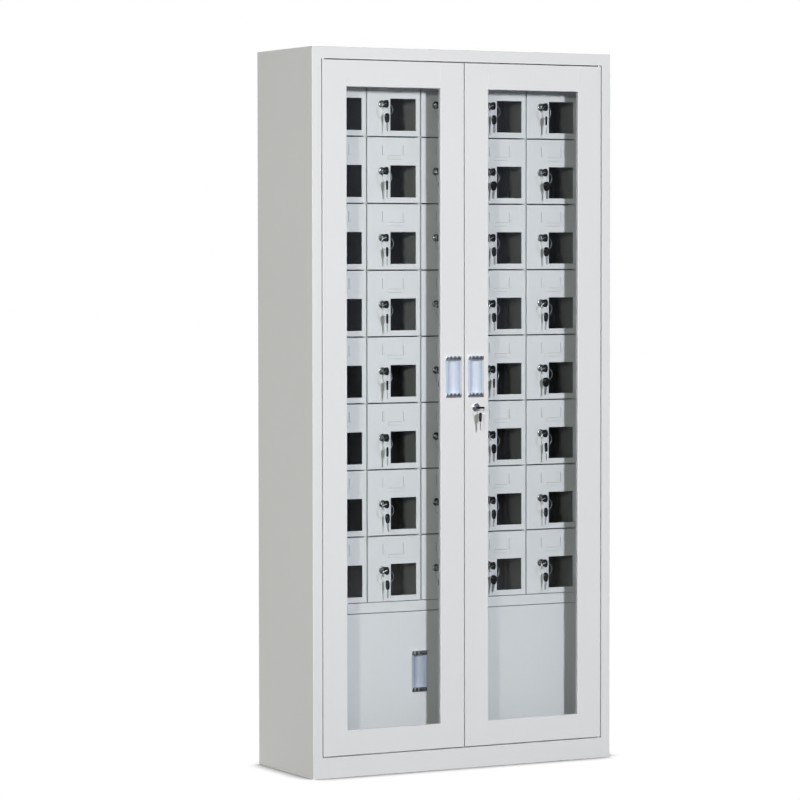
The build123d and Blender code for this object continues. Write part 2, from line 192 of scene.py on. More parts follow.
class HardwareSizes(PropertyGroup):
    bar: length("Pull end bar", "Height of the bar at each end of a pull", 0.012)
    bar_rise: length("Pull end rise", "How far an end bar stands in front of the rim", 0.0015)
    bar_soft: length("Pull end rounding", "Rounding of an end bar's edges", 0.0016)
    flutes: IntProperty(name="Flutes", description="Flutes across an end bar", default=4, min=0)
    flute: length("Flute depth", "Depth of the flutes across an end bar", 0.0007)
    rim: length("Pull rim", "Width of the rim beside the hollow", 0.005)
    rim_rise: length("Pull rim rise", "How far the rim stands off the door", 0.0025)
    rim_soft: length("Pull rim rounding", "Width of the slope at the outer edge of the rim", 0.0006)
    cup: length("Cup wall", "Wall of the cup behind the hollow", 0.0015)
    bezel: length("Locker bezel radius", "Radius of a locker lock's bezel", 0.010)
    door_bezel: length("Door bezel radius", "Radius of the glazed doors' lock bezel", 0.011)
    bezel_rise: length("Bezel rise", "How far a bezel stands off its door", 0.003)
    plug: length("Plug radius", "Radius of a lock's plug", 0.0055)
    shank: length("Shank", "Half the width of a locker lock behind its door", 0.0065)
    shank_deep: length("Shank depth", "How far a locker lock reaches behind its face", 0.018)
    door_shank: length("Door lock shank", "Radius of the door lock behind its bezel", 0.008)
    cam: length("Cam", "Width of a lock's cam", 0.012)
    cam_thick: length("Cam thickness", "Thickness of a lock's cam", 0.002)
    locker_cam: length("Locker cam length", "From a locker lock's axis to the end of its cam", 0.034)
    door_cam: length("Door cam length", "From the door lock's axis to the end of its cam", 0.042)
    neck: length("Key neck", "From the bezel to the head of the key", 0.007)
    head: length("Key head length", "Length of the plastic head", 0.024)
    head_wide: length("Key head width", "Width of the plastic head", 0.022)
    head_thick: length("Key head thickness", "Thickness of the plastic head", 0.0045)
    head_soft: length("Key head slope", "Width of the slope round the plastic head", 0.0009)
    eye: length("Key eye", "From the far end of a key's head to the middle of its eye", 0.0062)
    eye_hole: length("Key eye radius", "Radius of the eye in a key's head", 0.0024)
    blade: length("Key blade", "Length of a loose key's blade", 0.021)
    blade_wide: length("Key blade width", "Width of a key's blade", 0.0076)
    blade_thick: length("Key blade thickness", "Thickness of a key's blade", 0.002)
    ring: length("Key ring radius", "Radius of a locker's key ring, to its wire", 0.016)
    door_ring: length("Door key ring radius", "Radius of the door key's ring, to its wire", 0.0105)
    wire: length("Ring wire radius", "Radius of the key ring's wire", 0.0006)


class StudioLight(PropertyGroup):
    key: share("Front light", "Brightness of a white sheet in the light from the front", 0.625)
    left: share("Left light", "Brightness of a white sheet in the light from the left", 0.28)
    side: share("Side light", "Brightness of a white sheet in the soft box at the side", 0.36)
    behind: share("Back lights", "Brightness of a white sheet in each light from behind", 0.45)
    room: share("Room light", "Strength of the light from all round", 0.01)
    ceiling: share("Ceiling light", "Strength that the room light gains towards the ceiling", 0.03)
    mirrored: share("Mirrored room", "Strength of the room that glass and plating reflect", 0.13)
    mirrored_top: strength("Mirrored ceiling", "Strength that the reflected room gains upwards", 1.6)
    floor_glow: strength("Floor glow", "Strength of the floor as the camera sees it", 1.13)
    floor_dim: share("Floor tone", "Tone of the floor in the light that it throws back", 0.35)
    shadow: share("Shadow tone", "Tone of the floor where the cabinet stands", 0.22)
    shadow_reach: length("Shadow reach", "How far round the cabinet the floor is shaded", 0.08)


# Shader arithmetic


class Wire:
    """One output of a node, with the arithmetic that the finishes use."""

    def __init__(self, nodes, socket):
        self.nodes, self.socket = nodes, socket

    def maths(self, operation, first, second=0.0):
        return self.nodes.add("ShaderNodeMath", {"operation": operation}, {0: first, 1: second})

    def __add__(self, other):
        return self.maths("ADD", self, other)

    def __radd__(self, other):
        return self.maths("ADD", other, self)

    def __sub__(self, other):
        return self.maths("SUBTRACT", self, other)

    def __rsub__(self, other):
        return self.maths("SUBTRACT", other, self)

    def __mul__(self, other):
        return self.maths("MULTIPLY", self, other)

    def __rmul__(self, other):
        return self.maths("MULTIPLY", other, self)

    def at_least(self, other):
        return self.maths("MAXIMUM", self, other)


class Nodes:
    """The node tree of a material or a world as it is put together."""

    def __init__(self, owner):
        owner.use_nodes = True
        self.owner, self.tree = owner, owner.node_tree
        self.tree.nodes.clear()

    def add(self, kind, settings=None, sockets=None, out=0):
        """Adds a node, sets it up, links or fills its sockets and returns one of its outputs."""
        node = self.tree.nodes.new(kind)
        for key, value in (settings or {}).items():
            setattr(node, key, value)
        for key, value in (sockets or {}).items():
            if isinstance(value, Wire):
                self.tree.links.new(value.socket, node.inputs[key])
            else:
                node.inputs[key].default_value = value
        return Wire(self, node.outputs[out]) if node.outputs else None

    def coordinate(self, kind="Object"):
        """Where a point of a piece lies or which way it faces, or a direction in the room."""
        return self.add("ShaderNodeTexCoord", out=kind)

    def along(self, vector, way):
        """How far a vector goes along a direction."""
        return self.add("ShaderNodeVectorMath", {"operation": "DOT_PRODUCT"}, {
            0: vector, 1: way}, out=1)

    def noise(self, grain, stretch=None):
        """Noise of a scale and detail, which can be stretched."""
        place, (scale, detail) = self.coordinate(), grain
        if stretch:
            place = self.add("ShaderNodeVectorMath", {"operation": "MULTIPLY"}, {
                0: place, 1: stretch})
        return self.add("ShaderNodeTexNoise", {}, {
            "Vector": place, "Scale": scale, "Detail": detail})

    def blend(self, mask, low, high):
        """A colour between two colours."""
        return self.add("ShaderNodeMix", {"data_type": "RGBA"}, {0: mask, 6: low, 7: high}, out=2)

    def bump(self, height, depth, distance):
        return self.add("ShaderNodeBump", {}, {
            "Height": height, "Strength": depth, "Distance": distance})

    def surface(self, sockets):
        return self.end(self.add("ShaderNodeBsdfPrincipled", {}, sockets))

    def either(self, mask, first, second):
        """One shader where the mask is nought and another where it is one."""
        return self.add("ShaderNodeMixShader", {}, {0: mask, 1: first, 2: second})

    def end(self, shader, kind="ShaderNodeOutputMaterial"):
        self.add(kind, {}, {"Surface": shader})
        return self.owner


def toned(tone, gain=1.0):
    """A colour for a shader's socket, lighter or darker by a share."""
    return (*[min(1.0, part * gain) for part in tone[:3]], 1.0)


def powder_coat(nodes, tone, shaded_side_tone=None, way=FORWARD, deep_shade_tone=None):
    """Satin powder coat: a faint ripple, a slow drift of tone and a little dust.

    A sheet can take a painted shade tone on the side that faces one way. Deep in the
    cells the coat darkens to a painted shade tone, the deeper the darker.
    """
    values = bpy.context.scene.cabinet_finishes
    darkest, lightest, dusty, dust_tone = 0.985, 1.012, 0.05, 0.88
    patchy, rippled, ripple_depth = 0.10, 0.06, 0.00025
    drift, dust, peel = nodes.noise(DRIFT), nodes.noise(DUST), nodes.noise(PEEL)
    tint = nodes.blend(drift, toned(tone, darkest), toned(tone, lightest))
    # Painted shade: the side of the sheet that faces the given way takes the shaded side tone.
    if shaded_side_tone:
        facing = nodes.along(nodes.coordinate("Normal"), way)
        tint = nodes.blend(facing.at_least(0.0), tint, toned(shaded_side_tone))
    # Painted shade: deeper in the cells the tone blends towards the painted shade tone.
    if deep_shade_tone:
        shade_begins = FRONT + NEST_FACE + values.unshaded_depth
        past = nodes.along(nodes.coordinate(), -FORWARD) - shade_begins
        painted_deep_shade = (past * (1 / values.shade_fade_depth)).at_least(0.0)
        tint = nodes.blend(painted_deep_shade, tint, toned(deep_shade_tone))
    return nodes.surface({
        "Base Color": nodes.blend(dust * dusty, tint, toned(tone, dust_tone)),
        "Roughness": values.coat_gloss + (drift - 0.5) * patchy + (peel - 0.5) * rippled,
        "IOR": 1.45,
        "Normal": nodes.bump(peel, values.peel, ripple_depth)})


def plated(nodes, tone, rough, rubbed):
    """Bright plating with fine rubbing marks."""
    dulled, bumpy, bump_depth = 0.94, 0.35, 0.001
    rubbing, scratches = nodes.noise(RUBBING), nodes.noise(SCRATCHES)
    return nodes.surface({
        "Base Color": nodes.blend(rubbing, toned(tone, dulled), toned(tone)),
        "Metallic": 1.0,
        "Roughness": rough + (rubbing + scratches * 0.5) * rubbed,
        "Normal": nodes.bump(rubbing + scratches * 0.02, bumpy, bump_depth)})


def pull_hollow(nodes, tone):
    """The pale satin hollow of a pull, brushed up and down."""
    darkest, lightest, smooth, brushed, bumpy, bump_depth = 0.84, 1.16, 0.46, 0.10, 0.1, 0.0003
    brushing = nodes.noise(BRUSHING, BRUSH_STRETCH)
    return nodes.surface({
        "Base Color": nodes.blend(brushing, toned(tone, darkest), toned(tone, lightest)),
        "Roughness": smooth + brushing * brushed,
        "Specular IOR Level": 0.35,
        "Normal": nodes.bump(brushing, bumpy, bump_depth)})


def moulded(nodes, tone, rough):
    """Moulded plastic with a fine spark-eroded grain."""
    worn_tone, worn, bumpy, bump_depth = 2.0, 0.14, 0.25, 0.00008
    grain, wear = nodes.noise(SPARK_GRAIN), nodes.noise(WEAR)
    return nodes.surface({
        "Base Color": nodes.blend(wear, toned(tone), toned(tone, worn_tone)),
        "Roughness": rough + wear * worn,
        "Specular IOR Level": 0.12,
        "Normal": nodes.bump(grain, bumpy, bump_depth)})


def clear_sheet(nodes, tone, gloss):
    """Thin clear sheet: light goes straight through, tinted, and the surface still reflects."""
    polish, smeared, bumpy, bump_depth = 0.02, 0.03, 0.04, 0.001
    wave = nodes.bump(nodes.noise(GLASS_WAVE), bumpy, bump_depth)
    through = nodes.add("ShaderNodeBsdfTransparent", {}, {"Color": toned(tone)})
    back = nodes.add("ShaderNodeBsdfGlossy", {}, {
        "Color": toned(WHITE), "Roughness": polish + nodes.noise(SMEARS) * smeared, "Normal": wave})
    edge = nodes.add("ShaderNodeFresnel", {}, {"IOR": 1.45, "Normal": wave})
    return nodes.end(nodes.either(edge * gloss, through, back))


def studio_floor(nodes, tone):
    """A white studio floor that glows for the camera, shaded where the cabinet stands."""
    values = bpy.context.scene.cabinet_studio
    darkest_air, fade = 0.5, 3.4
    seen = nodes.add("ShaderNodeLightPath", out="Is Camera Ray")
    open_air = nodes.add("ShaderNodeAmbientOcclusion", {"samples": 8}, {
        "Distance": values.shadow_reach}, out=1)
    clear = ((open_air - darkest_air) * fade).at_least(0.0)
    glow = nodes.add("ShaderNodeEmission", {}, {
        "Color": nodes.blend(clear, toned(tone, values.shadow), toned(tone)),
        "Strength": values.floor_glow})
    dim = nodes.add("ShaderNodeBsdfDiffuse", {}, {"Color": toned(tone, values.floor_dim)})
    return nodes.end(nodes.either(seen, dim, glow))


def finish(name):
    """The material of that name, made when it is first asked for."""
    if name in bpy.data.materials:
        return bpy.data.materials[name]
    values = bpy.context.scene.cabinet_finishes
    makers = {
        "coat": (powder_coat, dict(tone=values.coat)),
        "inner coat": (powder_coat, dict(tone=values.inner_coat)),
        # Painted shade: the partitions' coat darkens with depth into the cells, standing in for the
        # shade deep inside them.
        "cell coat with painted deep shade": (powder_coat, dict(tone=values.inner_coat, deep_shade_tone=values.painted_cell_shade)),
        # Painted shade: the dark cell colour on its own, and the back coat with it on the side of the
        # back panel that faces into the cells.
        "painted_cell_shade": (powder_coat, dict(tone=values.painted_cell_shade)),
        "back coat": (powder_coat, dict(tone=values.coat, shaded_side_tone=values.painted_cell_shade)),
        # Painted shade: the glazed doors and their beads take the dark painted back shade on the side
        # that faces into the cabinet.
        "door coat": (powder_coat, dict(tone=values.coat, shaded_side_tone=values.painted_back_shade, way=-FORWARD)),
        "bright plating": (plated, dict(tone=values.plating, rough=0.06, rubbed=0.06)),
        "dull plating": (plated, dict(tone=toned(values.plating, 0.62), rough=0.26, rubbed=0.12)),
        # Painted reflection: plating darkened to stand in for the dark surroundings that the locker
        # bezels mirror.
        "plating with painted dark reflections": (plated, dict(tone=toned(values.plating, 0.42), rough=0.14, rubbed=0.12)),
        "pull hollow": (pull_hollow, dict(tone=values.film)),
        # Painted shade: the same pale hollow darkened for the low pulls, standing in for the dimmer
        # light that falls on them.
        "low pull hollow with painted shade": (pull_hollow, dict(tone=toned(values.film, 0.74))),
        "black plastic": (moulded, dict(tone=values.plastic, rough=0.45)),
        "door glass": (clear_sheet, dict(tone=values.glass, gloss=0.5)),
        "smoked pane": (clear_sheet, dict(tone=values.smoke, gloss=0.6)),
        "floor": (studio_floor, dict(tone=(0.9, 0.9, 0.9))),
    }
    maker, settings = makers[name]
    return maker(Nodes(bpy.data.materials.new(name)), **settings)


# Mesh work


def point(x, depth, z):
    """A point across the cabinet, behind its front face and above the floor."""
    return Vector((x, FRONT + depth, z))


def extents(node):
    """A node's two places across, two depths behind the front face and two heights."""
    low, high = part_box(node)
    return low.x, high.x, low.y - FRONT, high.y - FRONT, low.z, high.z


def rectangle(edges, depth, room=0.0):
    """A loop round two places across and two heights, moved outwards by some room."""
    x0, x1, z0, z1 = edges
    x0, x1, z0, z1 = x0 - room, x1 + room, z0 - room, z1 + room
    return [point(x0, depth, z0), point(x1, depth, z0), point(x1, depth, z1), point(x0, depth, z1)]


def quarter(radius, steps=4):
    """Room and depth along a rounded edge, from its side to its front."""
    turns = [math.pi / 2 * step / steps for step in range(steps + 1)]
    return [(radius * (1 - math.cos(t)), radius * (1 - math.sin(t))) for t in turns]


def circle(steps):
    """Cosines and sines round a circle."""
    turns = [2 * math.pi * step / steps for step in range(steps)]
    return [(math.cos(t), math.sin(t)) for t in turns]


class Shape:
    """A mesh as it is put together from lofts."""

    def __init__(self):
        self.mesh = bmesh.new()

    def loft(self, loops, joined=False, lids=True, material=0, smooth=False):
        """Skins loops of equally many points. Joined, the last loop runs on to the first."""
        rows = [[self.mesh.verts.new(p) for p in loop] for loop in loops]
        faces = []
        for low, high in zip(rows, rows[1:] + rows[:1] if joined else rows[1:]):
            for here in range(len(low)):
                there = (here + 1) % len(low)
                faces.append((low[here], low[there], high[there], high[here]))
        if lids and not joined:
            faces += [rows[0][::-1], rows[-1]]
        for corners in faces:
            face = self.mesh.faces.new(corners)
            face.material_index, face.smooth = material, smooth

    def block(self, x0, x1, depth0, depth1, z0, z1):
        """A box between two places across, two depths and two heights."""
        self.loft([rectangle((x0, x1, z0, z1), depth) for depth in (depth1, depth0)])

    def turned(self, x, z, profile, joined=False, material=0):
        """A turned piece on an axis from front to back, from its radii and depths."""
        self.loft([[point(x + r * c, depth, z + r * s) for c, s in circle(ROUND)]
                   for r, depth in profile], joined=joined, material=material, smooth=True)

    def data(self, name, materials=()):
        """Ends the mesh, with its folds and corners kept sharp."""
        sharpest_smooth = math.radians(35)
        bmesh.ops.recalc_face_normals(self.mesh, faces=self.mesh.faces)
        data = bpy.data.meshes.new(name)
        self.mesh.to_mesh(data)
        self.mesh.free()
        for material in materials:
            data.materials.append(finish(material))
        data.set_sharp_from_angle(angle=sharpest_smooth)
        return data

    def piece(self, name, body, materials, slot, replaces=(), holes=()):
        """Ends the mesh, cuts its holes and hangs it on its body."""
        made = bpy.data.objects.new(name, self.data(name, materials))
        bpy.context.scene.collection.objects.link(made)
        if holes:
            cut(made, holes)
        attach(made, body)
        if replaces:
            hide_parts(*replaces)


def cut(made, holes):
    """Cuts square holes, each given as a block, out of a piece."""
    shape = Shape()
    for hole in holes:
        shape.block(*hole)
    tool = bpy.data.objects.new("tool", shape.data("tool"))
    bpy.context.scene.collection.objects.link(tool)
    change = made.modifiers.new("hole", "BOOLEAN")
    change.operation, change.solver, change.object = "DIFFERENCE", "EXACT", tool
    seen = made.evaluated_get(bpy.context.evaluated_depsgraph_get())
    made.data = bpy.data.meshes.new_from_object(seen)
    made.data.shade_flat()
    made.modifiers.clear()
    bpy.data.objects.remove(tool)


def dress(node, material):
    """Gives a sheet that stays as it is its finish."""
    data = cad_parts[node].data
    data.materials.clear()
    data.materials.append(finish(material))


# Glazed doors, cupboard doors and pulls


def pull_hole(node, depth):
    """The hole for a pull's cup in the door that carries it, whose face lies at a depth."""
    sizes = bpy.context.scene.cabinet_hardware
    before, behind = 0.001, 0.004
    x0, x1, _, _, z0, z1 = extents(node)
    side, end = sizes.rim - sizes.cup - CLEARANCE, sizes.bar - sizes.cup - CLEARANCE
    return x0 + side, x1 - side, depth - before, depth + behind, z0 + end, z1 - end


def pivot_hole(edge, side, depth, z0, z1):
    """The hole for a pivot through the top and bottom folds of a door."""
    sizes = bpy.context.scene.cabinet_sheets
    x, depth, half = edge - side * sizes.pivot, depth + sizes.pivot, sizes.pivot_hole
    return x - half, x + half, depth - half, depth + half, z0 - half, z1 + half


def lock_hole(before, behind):
    """The square hole for the round shank of the glazed doors' lock."""
    x0, x1, _, _, z0, z1 = extents("door_lock_barrel")
    x, z, half = (x0 + x1) / 2, (z0 + z1) / 2, bpy.context.scene.cabinet_hardware.door_shank + FIT
    return x - half, x + half, before, behind, z - half, z + half


def glass_bead(window, glass_back, word):
    """The bead that runs round the edge and the back of the glass and holds it to the door."""
    sizes = bpy.context.scene.cabinet_sheets
    inside = sizes.glass_lap + sizes.bead_play
    outside, back = inside + sizes.bead_side, glass_back + sizes.bead
    section = [(inside, sizes.sheet), (inside, glass_back), (0.0, glass_back), (0.0, back),
               (outside, back), (outside, sizes.sheet)]
    bead = Shape()
    bead.loft([rectangle(window, deep, room) for room, deep in section], joined=True)
    bead.piece(f"glass_bead_{word}", f"{word}_door", ["door coat"], "paint")


def glazed_door(side, word):
    """The folded frame of a glazed door, its glass and the bead that holds it."""
    sizes = bpy.context.scene.cabinet_sheets
    x0, x1, _, _, z0, z1 = extents(f"glazed_door_{word}")
    outer = (x0, x1, z0, z1)
    x0, x1, _, glass_back, z0, z1 = extents(f"door_glass_{word}")
    lap, thick, back = sizes.glass_lap, sizes.sheet, sizes.door_depth
    window = (x0 + lap, x1 - lap, z0 + lap, z1 - lap)
    rim = [(outer, -room, deep) for room, deep in quarter(sizes.fold)]
    lip = [(window, room, deep) for room, deep in quarter(sizes.window_radius)]
    section = [
        (outer, -sizes.hem, back), (outer, -sizes.hem, back - thick),
        (outer, -thick, back - thick), (outer, -thick, thick),
        (window, sizes.window_radius + thick, thick), (window, thick, sizes.window_fold),
        (window, 0.0, sizes.window_fold), *lip, *rim[::-1], (outer, 0.0, back)]
    shape = Shape()
    shape.loft([rectangle(edges, deep, room) for edges, room, deep in section], joined=True)
    seam, top = sizes.seam / 2, window[3]
    holes = [(x - seam, x + seam, -seam, seam, top - seam, outer[3] + seam) for x in window[:2]]
    holes.append(pull_hole(f"door_pull_{word}", 0.0))
    holes.append(pivot_hole(outer[0 if side < 0 else 1], side, 0.0, outer[2], outer[3]))
    if side > 0:
        holes.append(lock_hole(-seam, thick + seam))
    shape.piece(f"door_frame_{word}", f"{word}_door", ["door coat"], "paint",
                [f"glazed_door_{word}"], holes)
    glass_bead(window, glass_back, word)
    dress(f"door_glass_{word}", "door glass")


def cupboard_door(side, word):
    """A plain folded door of the cupboard."""
    sizes = bpy.context.scene.cabinet_sheets
    x0, x1, face, back, z0, z1 = extents(f"cupboard_door_{word}")
    section = [(-sizes.sheet, face + sizes.sheet), (-sizes.sheet, back), (0.0, back)]
    section += [(-room, face + deep) for room, deep in quarter(sizes.fold)]
    shape = Shape()
    shape.loft([rectangle((x0, x1, z0, z1), deep, room) for room, deep in section])
    holes = [pull_hole(f"cupboard_pull_{word}", face),
             pivot_hole(x0 if side < 0 else x1, side, face, z0, z1)]
    shape.piece(f"cupboard_front_{word}", f"cupboard_{word}", ["inner coat"], "paint",
                [f"cupboard_door_{word}"], holes)


def end_bar(shape, x0, x1, face, door, z0, z1):
    """The bar at one end of a pull, with shallow flutes across its rounded front."""
    sizes = bpy.context.scene.cabinet_hardware
    stations, rounded_share, soft = 60, 0.05, sizes.bar_soft
    loops = []
    for station in range(stations + 1):
        along = station / stations
        rounding = max(0.0, 1 - min(along, 1 - along) / rounded_share) ** 2 * soft
        sink = sizes.flute * (0.5 - 0.5 * math.cos(2 * math.pi * sizes.flutes * along))
        rim = [(room, face + sink + rounding + deep) for room, deep in quarter(soft, 3)]
        loop = [(z0, door), *[(z0 + room, deep) for room, deep in rim],
                *[(z1 - room, deep) for room, deep in rim[::-1]], (z1, door)]
        loops.append([point(x0 + (x1 - x0) * along, deep, z) for z, deep in loop])
    shape.loft(loops, smooth=True)


def recessed_pull(node, body, name, hollow_finish):
    """A plated pull: a bright bar at each end, two rims and a pale rounded hollow between."""
    sizes = bpy.context.scene.cabinet_hardware
    x0, x1, bar_face, cup_back, z0, z1 = extents(node)
    x, half = (x0 + x1) / 2, (x1 - x0) / 2
    face, door = bar_face + sizes.bar_rise, bar_face + sizes.bar_rise + sizes.rim_rise
    hollow, floor = half - sizes.rim, cup_back - sizes.cup
    radius = (hollow ** 2 + (floor - face) ** 2) / (2 * (floor - face))
    reach, soft, steps = math.asin(hollow / radius), sizes.rim_soft, 20
    scoop = [(radius * math.sin(t), floor - radius + radius * math.cos(t))
             for t in (reach * (2 * step / steps - 1) for step in range(steps + 1))]
    cup = hollow + sizes.cup
    section = [(-half, door), (-half, face + soft), (-half + soft, face), *scoop,
               (half - soft, face), (half, face + soft), (half, door),
               (cup, door), (cup, cup_back), (-cup, cup_back), (-cup, door)]
    shape = Shape()
    foot, head = z0 + sizes.bar, z1 - sizes.bar
    shape.loft([[point(x + out, depth, z) for out, depth in section] for z in (foot, head)],
               lids=False, material=1, smooth=True)
    for low, high, wall in ((z0, foot, foot - sizes.cup), (head, z1, head)):
        end_bar(shape, x0, x1, bar_face, door, low, high)
        shape.block(x - cup, x + cup, door, cup_back, wall, wall + sizes.cup)
    shape.piece(name, body, ["bright plating", hollow_finish], "plating", [node])


# Locks and keys


def placed(first, second, origin):
    """A placement whose first two axes point as told."""
    turn = Matrix((first, second, first.cross(second))).transposed()
    return Matrix.Translation(origin) @ turn.to_4x4()


def head_outline(inset=0.0):
    """A key head's rounded outline, a little wider at its far end."""
    sizes = bpy.context.scene.cabinet_hardware
    along, wide, squareness, flare = sizes.head / 2, sizes.head_wide / 2, 2.5, 0.12

    def round_off(part, half):
        return math.copysign(abs(part) ** (2 / squareness), part) * (half - inset)

    return [(along + round_off(c, along), round_off(s, wide / (1 + flare)) * (1 + flare * c))
            for c, s in circle(HEAD_POINTS)]


def key(shape, place, blade):
    """A key whose head runs from its place along the first axis, and its blade the other way."""
    sizes = bpy.context.scene.cabinet_hardware
    thin, soft = sizes.head_thick / 2, sizes.head_soft
    middle, hole = sizes.head - sizes.eye, sizes.eye_hole
    eye = [(middle + hole * c, hole * s) for c, s in circle(HEAD_POINTS)]
    full, inner = head_outline(), head_outline(soft)
    section = [(eye, thin), (inner, thin), (full, thin - soft), (full, soft - thin),
               (inner, -thin), (eye, -thin)]
    shape.loft([[place @ Vector((u, v, w)) for u, v in outline] for outline, w in section],
               joined=True, material=1, smooth=True)
    half, thin = sizes.blade_wide / 2, sizes.blade_thick / 2
    root, shoulder, tip, nose = 0.003, 0.004, 0.002, 0.3
    cuts = ((0.82, 0.45), (0.66, 1.0), (0.52, 0.5), (0.36, 1.0))
    edge = [(root, half), (shoulder - blade, half), (-blade, half * nose), (tip - blade, -half)]
    edge += [(-blade * along, -half * deep) for along, deep in cuts] + [(root, -half)]
    shape.loft([[place @ Vector((u, v, w)) for u, v in edge] for w in (-thin, thin)])


def key_ring(shape, centre, radius, first, second):
    """A ring of wire round a centre, in the plane of two directions."""
    wire, out = bpy.context.scene.cabinet_hardware.wire, first.cross(second)
    loops = []
    for c, s in circle(RING_POINTS):
        spoke = first * c + second * s
        loops.append([centre + spoke * (radius + wire * a) + out * wire * b
                      for a, b in circle(WIRE_POINTS)])
    shape.loft(loops, joined=True, smooth=True)


def spare_key(shape, eye, radius, ring_turn, key_turn, lean, slope=0.0):
    """A ring that hangs from a key's eye, with a spare key that hangs from the ring."""
    sizes = bpy.context.scene.cabinet_hardware
    fall = Vector((0, slope, -1)).normalized()
    flat = Vector((math.cos(ring_turn), math.sin(ring_turn), 0))
    flat = (flat - fall * flat.dot(fall)).normalized()
    drop = fall * (radius - sizes.eye_hole / 2)
    centre = eye + drop
    key_ring(shape, centre, radius, flat, fall)
    side = Vector((math.cos(key_turn), math.sin(key_turn), 0))
    rise = (UP + side * math.tan(lean)).normalized()
    side = (side - rise * side.dot(rise)).normalized()
    hung = centre + drop
    key(shape, placed(rise, side, hung - rise * (sizes.head - sizes.eye)), sizes.blade)


def bezel_profile(radius, plug, face, rise):
    """Radii and depths of a bezel, from its rim at the door to the gap round its plug."""
    steps, wall, band = 6, 0.35, (radius - plug) * 0.6
    dome = []
    for step in range(steps, 0, -1):
        turn = math.pi / 2 * step / steps
        up = wall + (1 - wall) * math.cos(turn)
        dome.append((radius - band + band * math.sin(turn), face - rise * up))
    return [(radius, face), *dome, (plug + 2 * CLEARANCE, face - rise * 0.9),
            (plug + CLEARANCE, face - rise * 0.5)]


def locker_lock(row, column):
    """A locker's lock, the key in it, its ring and the spare key that hangs from it."""
    sizes, lockers = bpy.context.scene.cabinet_hardware, bpy.context.scene.cabinet_lockers
    x0, _, _, _, z0, _ = extents(f"locker_door_{row}_{column}")
    x, z = x0 + lockers.lock_left, z0 + lockers.lock_foot
    face, rise, plug = NEST_FACE, sizes.bezel_rise, sizes.plug
    chance = random.Random(row * 10 + column)
    shape = Shape()
    # The bezel takes the plating with painted dark reflections.
    shape.turned(x, z, [
        *bezel_profile(sizes.bezel, plug, face, rise), (plug, face - rise * 0.3),
        (plug, face - rise * 0.85), (plug * PLUG_FACE, face - rise * 0.95)], material=2)
    shank, behind, wide = sizes.shank, face + sizes.shank_deep, sizes.cam / 2
    shape.block(x - shank, x + shank, face, behind, z - shank, z + shank)
    shape.block(x - wide, x + wide, behind, behind + sizes.cam_thick, z - sizes.locker_cam, z + wide)
    root = point(x, face - rise - sizes.neck, z)
    key(shape, placed(FORWARD, UP, root), sizes.neck + rise)
    spare_key(shape, root + FORWARD * (sizes.head - sizes.eye), sizes.ring,
              chance.uniform(*RING_TURNS), chance.uniform(*KEY_TURNS), chance.uniform(*KEY_LEANS))
    shape.piece(f"locker_lock_{row}_{column}", f"locker_{row}_{column}",
                ["dull plating", "black plastic", "plating with painted dark reflections"], "plating")


def door_lock():
    """The lock of the glazed doors: its housing, its plug with the key, ring and spare key."""
    sizes = bpy.context.scene.cabinet_hardware
    x0, x1, _, back, z0, z1 = extents("door_lock_barrel")
    x, z = (x0 + x1) / 2, (z0 + z1) / 2
    plug, rise, shank, wide = sizes.plug, sizes.bezel_rise, sizes.door_shank, sizes.cam / 2
    housing = Shape()
    housing.turned(x, z, [(plug + CLEARANCE, back), (shank, back), (shank, 0.0),
                          *bezel_profile(sizes.door_bezel, plug, 0.0, rise)], joined=True)
    housing.piece("door_lock_housing", "right_door", ["bright plating"], "plating",
                  ["door_lock_barrel"])
    turning, clear = Shape(), back + CLEARANCE
    turning.turned(x, z, [(plug, clear), (plug, -rise * 0.85), (plug * PLUG_FACE, -rise)])
    turning.block(x - wide, x + wide, clear, back + sizes.cam_thick, z - sizes.door_cam, z + wide)
    root = point(x, -rise - sizes.neck, z)
    key(turning, placed(FORWARD, ACROSS, root), sizes.neck + rise)
    turning.piece("door_lock_plug", "door_key", ["dull plating", "black plastic"], "key_metal",
                  ["door_lock_key"])
    loose = Shape()
    spare_key(loose, root + FORWARD * (sizes.head - sizes.eye), sizes.door_ring,
              math.radians(15), math.radians(52), lean=0.05, slope=0.2)
    loose.piece("door_spare_key", "right_door", ["dull plating", "black plastic"], "key_metal")


# Locker doors


def raised_clip(shape, x0, x1, z0, z1, across):
    """A clip lanced out of the sheet: a strip that stands off the door between its two ends."""
    sizes = bpy.context.scene.cabinet_lockers
    rise, ramp, steep = sizes.proud, sizes.clip_ramp, 0.75
    start, end = (x0, x1) if across else (z0, z1)
    stations = ((start, 0.0), (start + ramp / 2, rise * steep), (start + ramp, rise),
                (end - ramp, rise), (end - ramp / 2, rise * steep), (end, 0.0))
    loops = []
    for place, height in stations:
        front, back = NEST_FACE - height, NEST_FACE - height + sizes.clip_thick
        if across:
            loops.append([point(place, front, z0), point(place, front, z1),
                          point(place, back, z1), point(place, back, z0)])
        else:
            loops.append([point(x0, front, place), point(x1, front, place),
                          point(x1, back, place), point(x0, back, place)])
    shape.loft(loops)


def clip_hole(x0, x1, z0, z1, across):
    """The hole that a clip leaves in the sheet, with a slit along each of its long sides."""
    sizes, behind = bpy.context.scene.cabinet_lockers, 0.002
    slit, root = sizes.slit, sizes.clip_root
    side, end = (root, -slit) if across else (-slit, root)
    return x0 + side, x1 - side, NEST_FACE - slit, NEST_FACE + behind, z0 + end, z1 - end


def card_clips(x0, z1):
    """The places of the three clips that hold a number card, and whether each lies across."""
    sizes = bpy.context.scene.cabinet_lockers
    left, top = x0 + sizes.card_left, z1 - sizes.card_drop
    foot, low = top - sizes.clip_tall, x0 + sizes.foot_clip_left
    uprights = [(x, x + sizes.clip, foot, top, False)
                for x in (left, left + sizes.card - sizes.clip)]
    return [*uprights, (low, low + sizes.foot_clip, foot - sizes.foot_clip_tall,
                        foot - sizes.slit * 2, True)]


